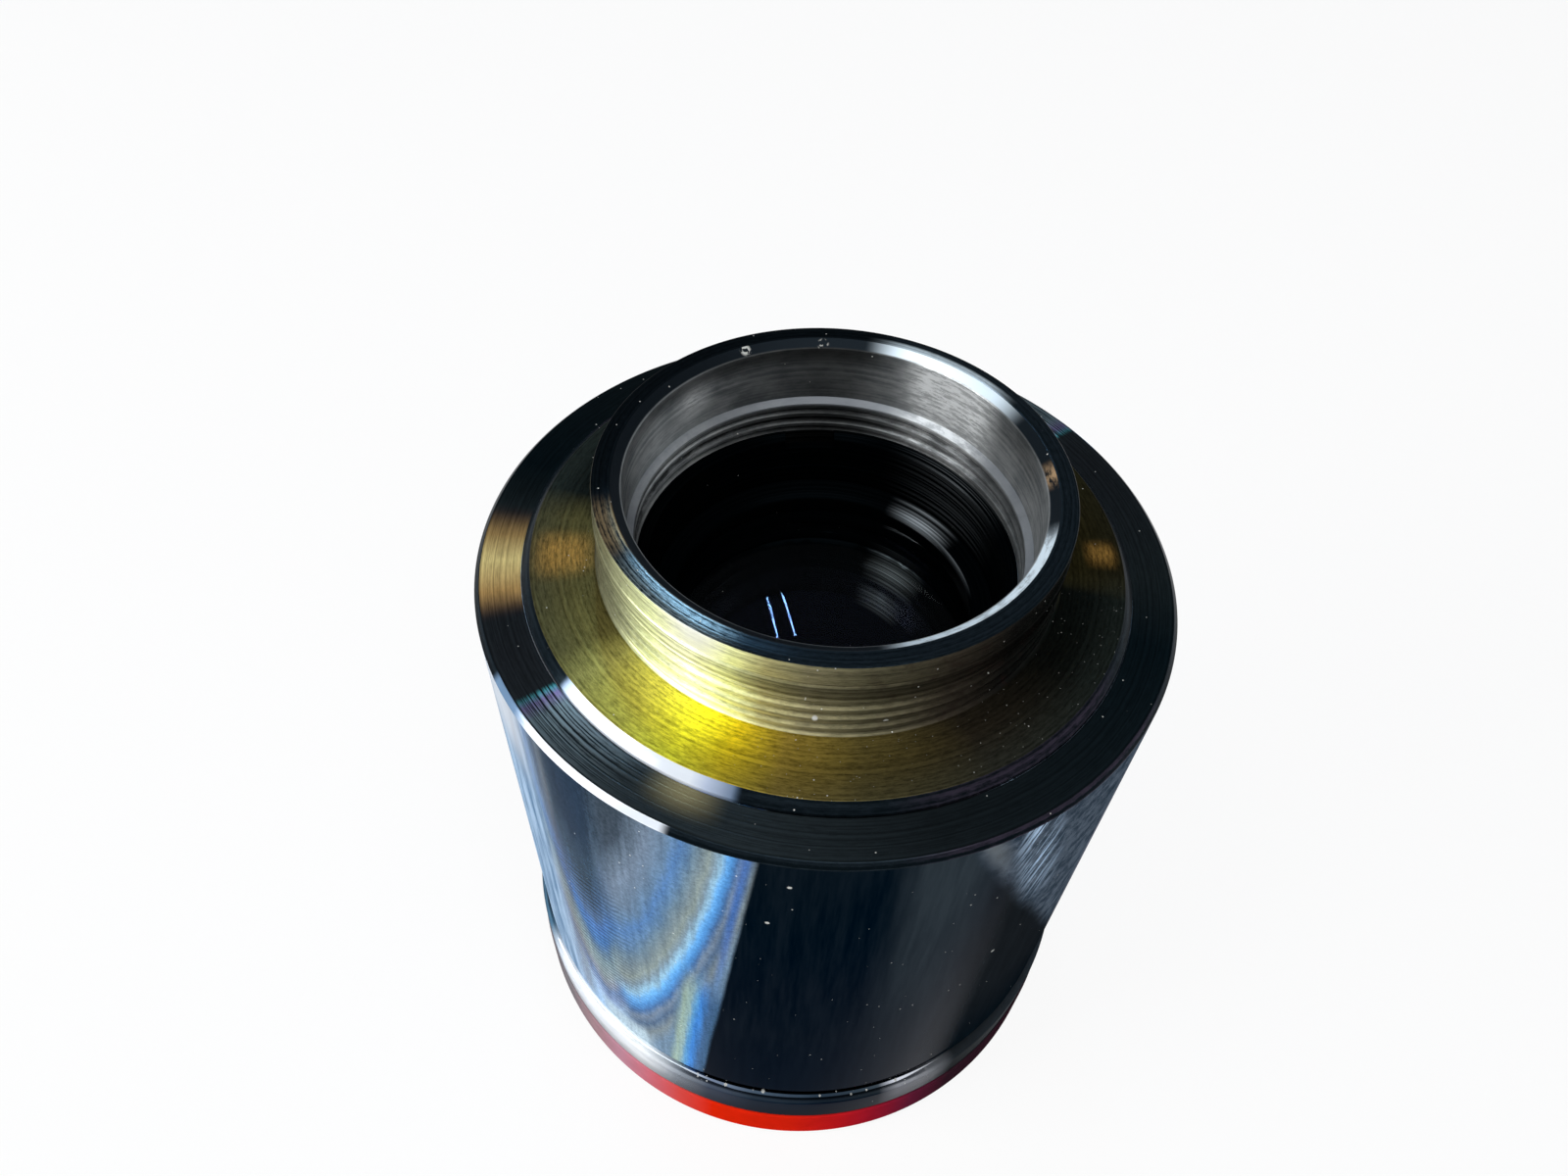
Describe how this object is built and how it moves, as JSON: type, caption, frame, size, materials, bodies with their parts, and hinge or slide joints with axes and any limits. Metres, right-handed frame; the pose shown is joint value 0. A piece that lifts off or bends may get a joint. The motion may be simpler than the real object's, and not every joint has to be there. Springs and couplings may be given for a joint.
{
  "type": "microscope objective",
  "caption": "Low-power microscope objective: black-chromed barrel, fine-threaded neck over a raised brass mounting face, red band near the nose, lens groups in an inner tube.",
  "frame": {"origin": "centre of the mounting face, where the thread neck meets it; the parfocal distance is measured from here", "axes": "+Z along the optical axis, out of the threaded neck; the objective is round, so X and Y are free"},
  "size_m": [0.039, 0.039, 0.0447],
  "materials": {
    "mount_brass": "turned bare brass, olive with age",
    "black_chrome": "polished black chrome",
    "red_enamel": "glossy red enamel",
    "blackened_metal": "black anodised, turned",
    "cell_brass": "turned brass, edges blackened",
    "shim_brass": "rolled brass foil",
    "screw_steel": "plain steel",
    "lens_glass": "polished optical glass",
    "coated_glass": "polished, with a blue-violet anti-reflection coating"
  },
  "bodies": {
    "root": {"aperture_stop": "blackened_metal", "centring_screws": "screw_steel", "front_crown_lens": "lens_glass", "front_element_spacer": "blackened_metal", "front_flint_lens": "lens_glass", "front_group_cell": "cell_brass", "front_meniscus_lens": "coated_glass", "front_retaining_ring": "blackened_metal", "lens_tube": "blackened_metal", "lower_collar": "black_chrome", "magnification_ring": "red_enamel", "middle_crown_lens": "lens_glass", "middle_flint_lens": "lens_glass", "middle_lens_cell": "cell_brass", "middle_spacer": "blackened_metal", "mount_body": "mount_brass", "nose_ring": "black_chrome", "outer_sleeve": "black_chrome", "parfocal_lock_ring": "blackened_metal", "parfocal_shim": "shim_brass", "rear_crown_lens": "coated_glass", "rear_flint_lens": "lens_glass", "rear_lens_cell": "cell_brass", "rear_retaining_ring": "blackened_metal", "stepped_baffle": "blackened_metal"}
  },
  "joints": []
}
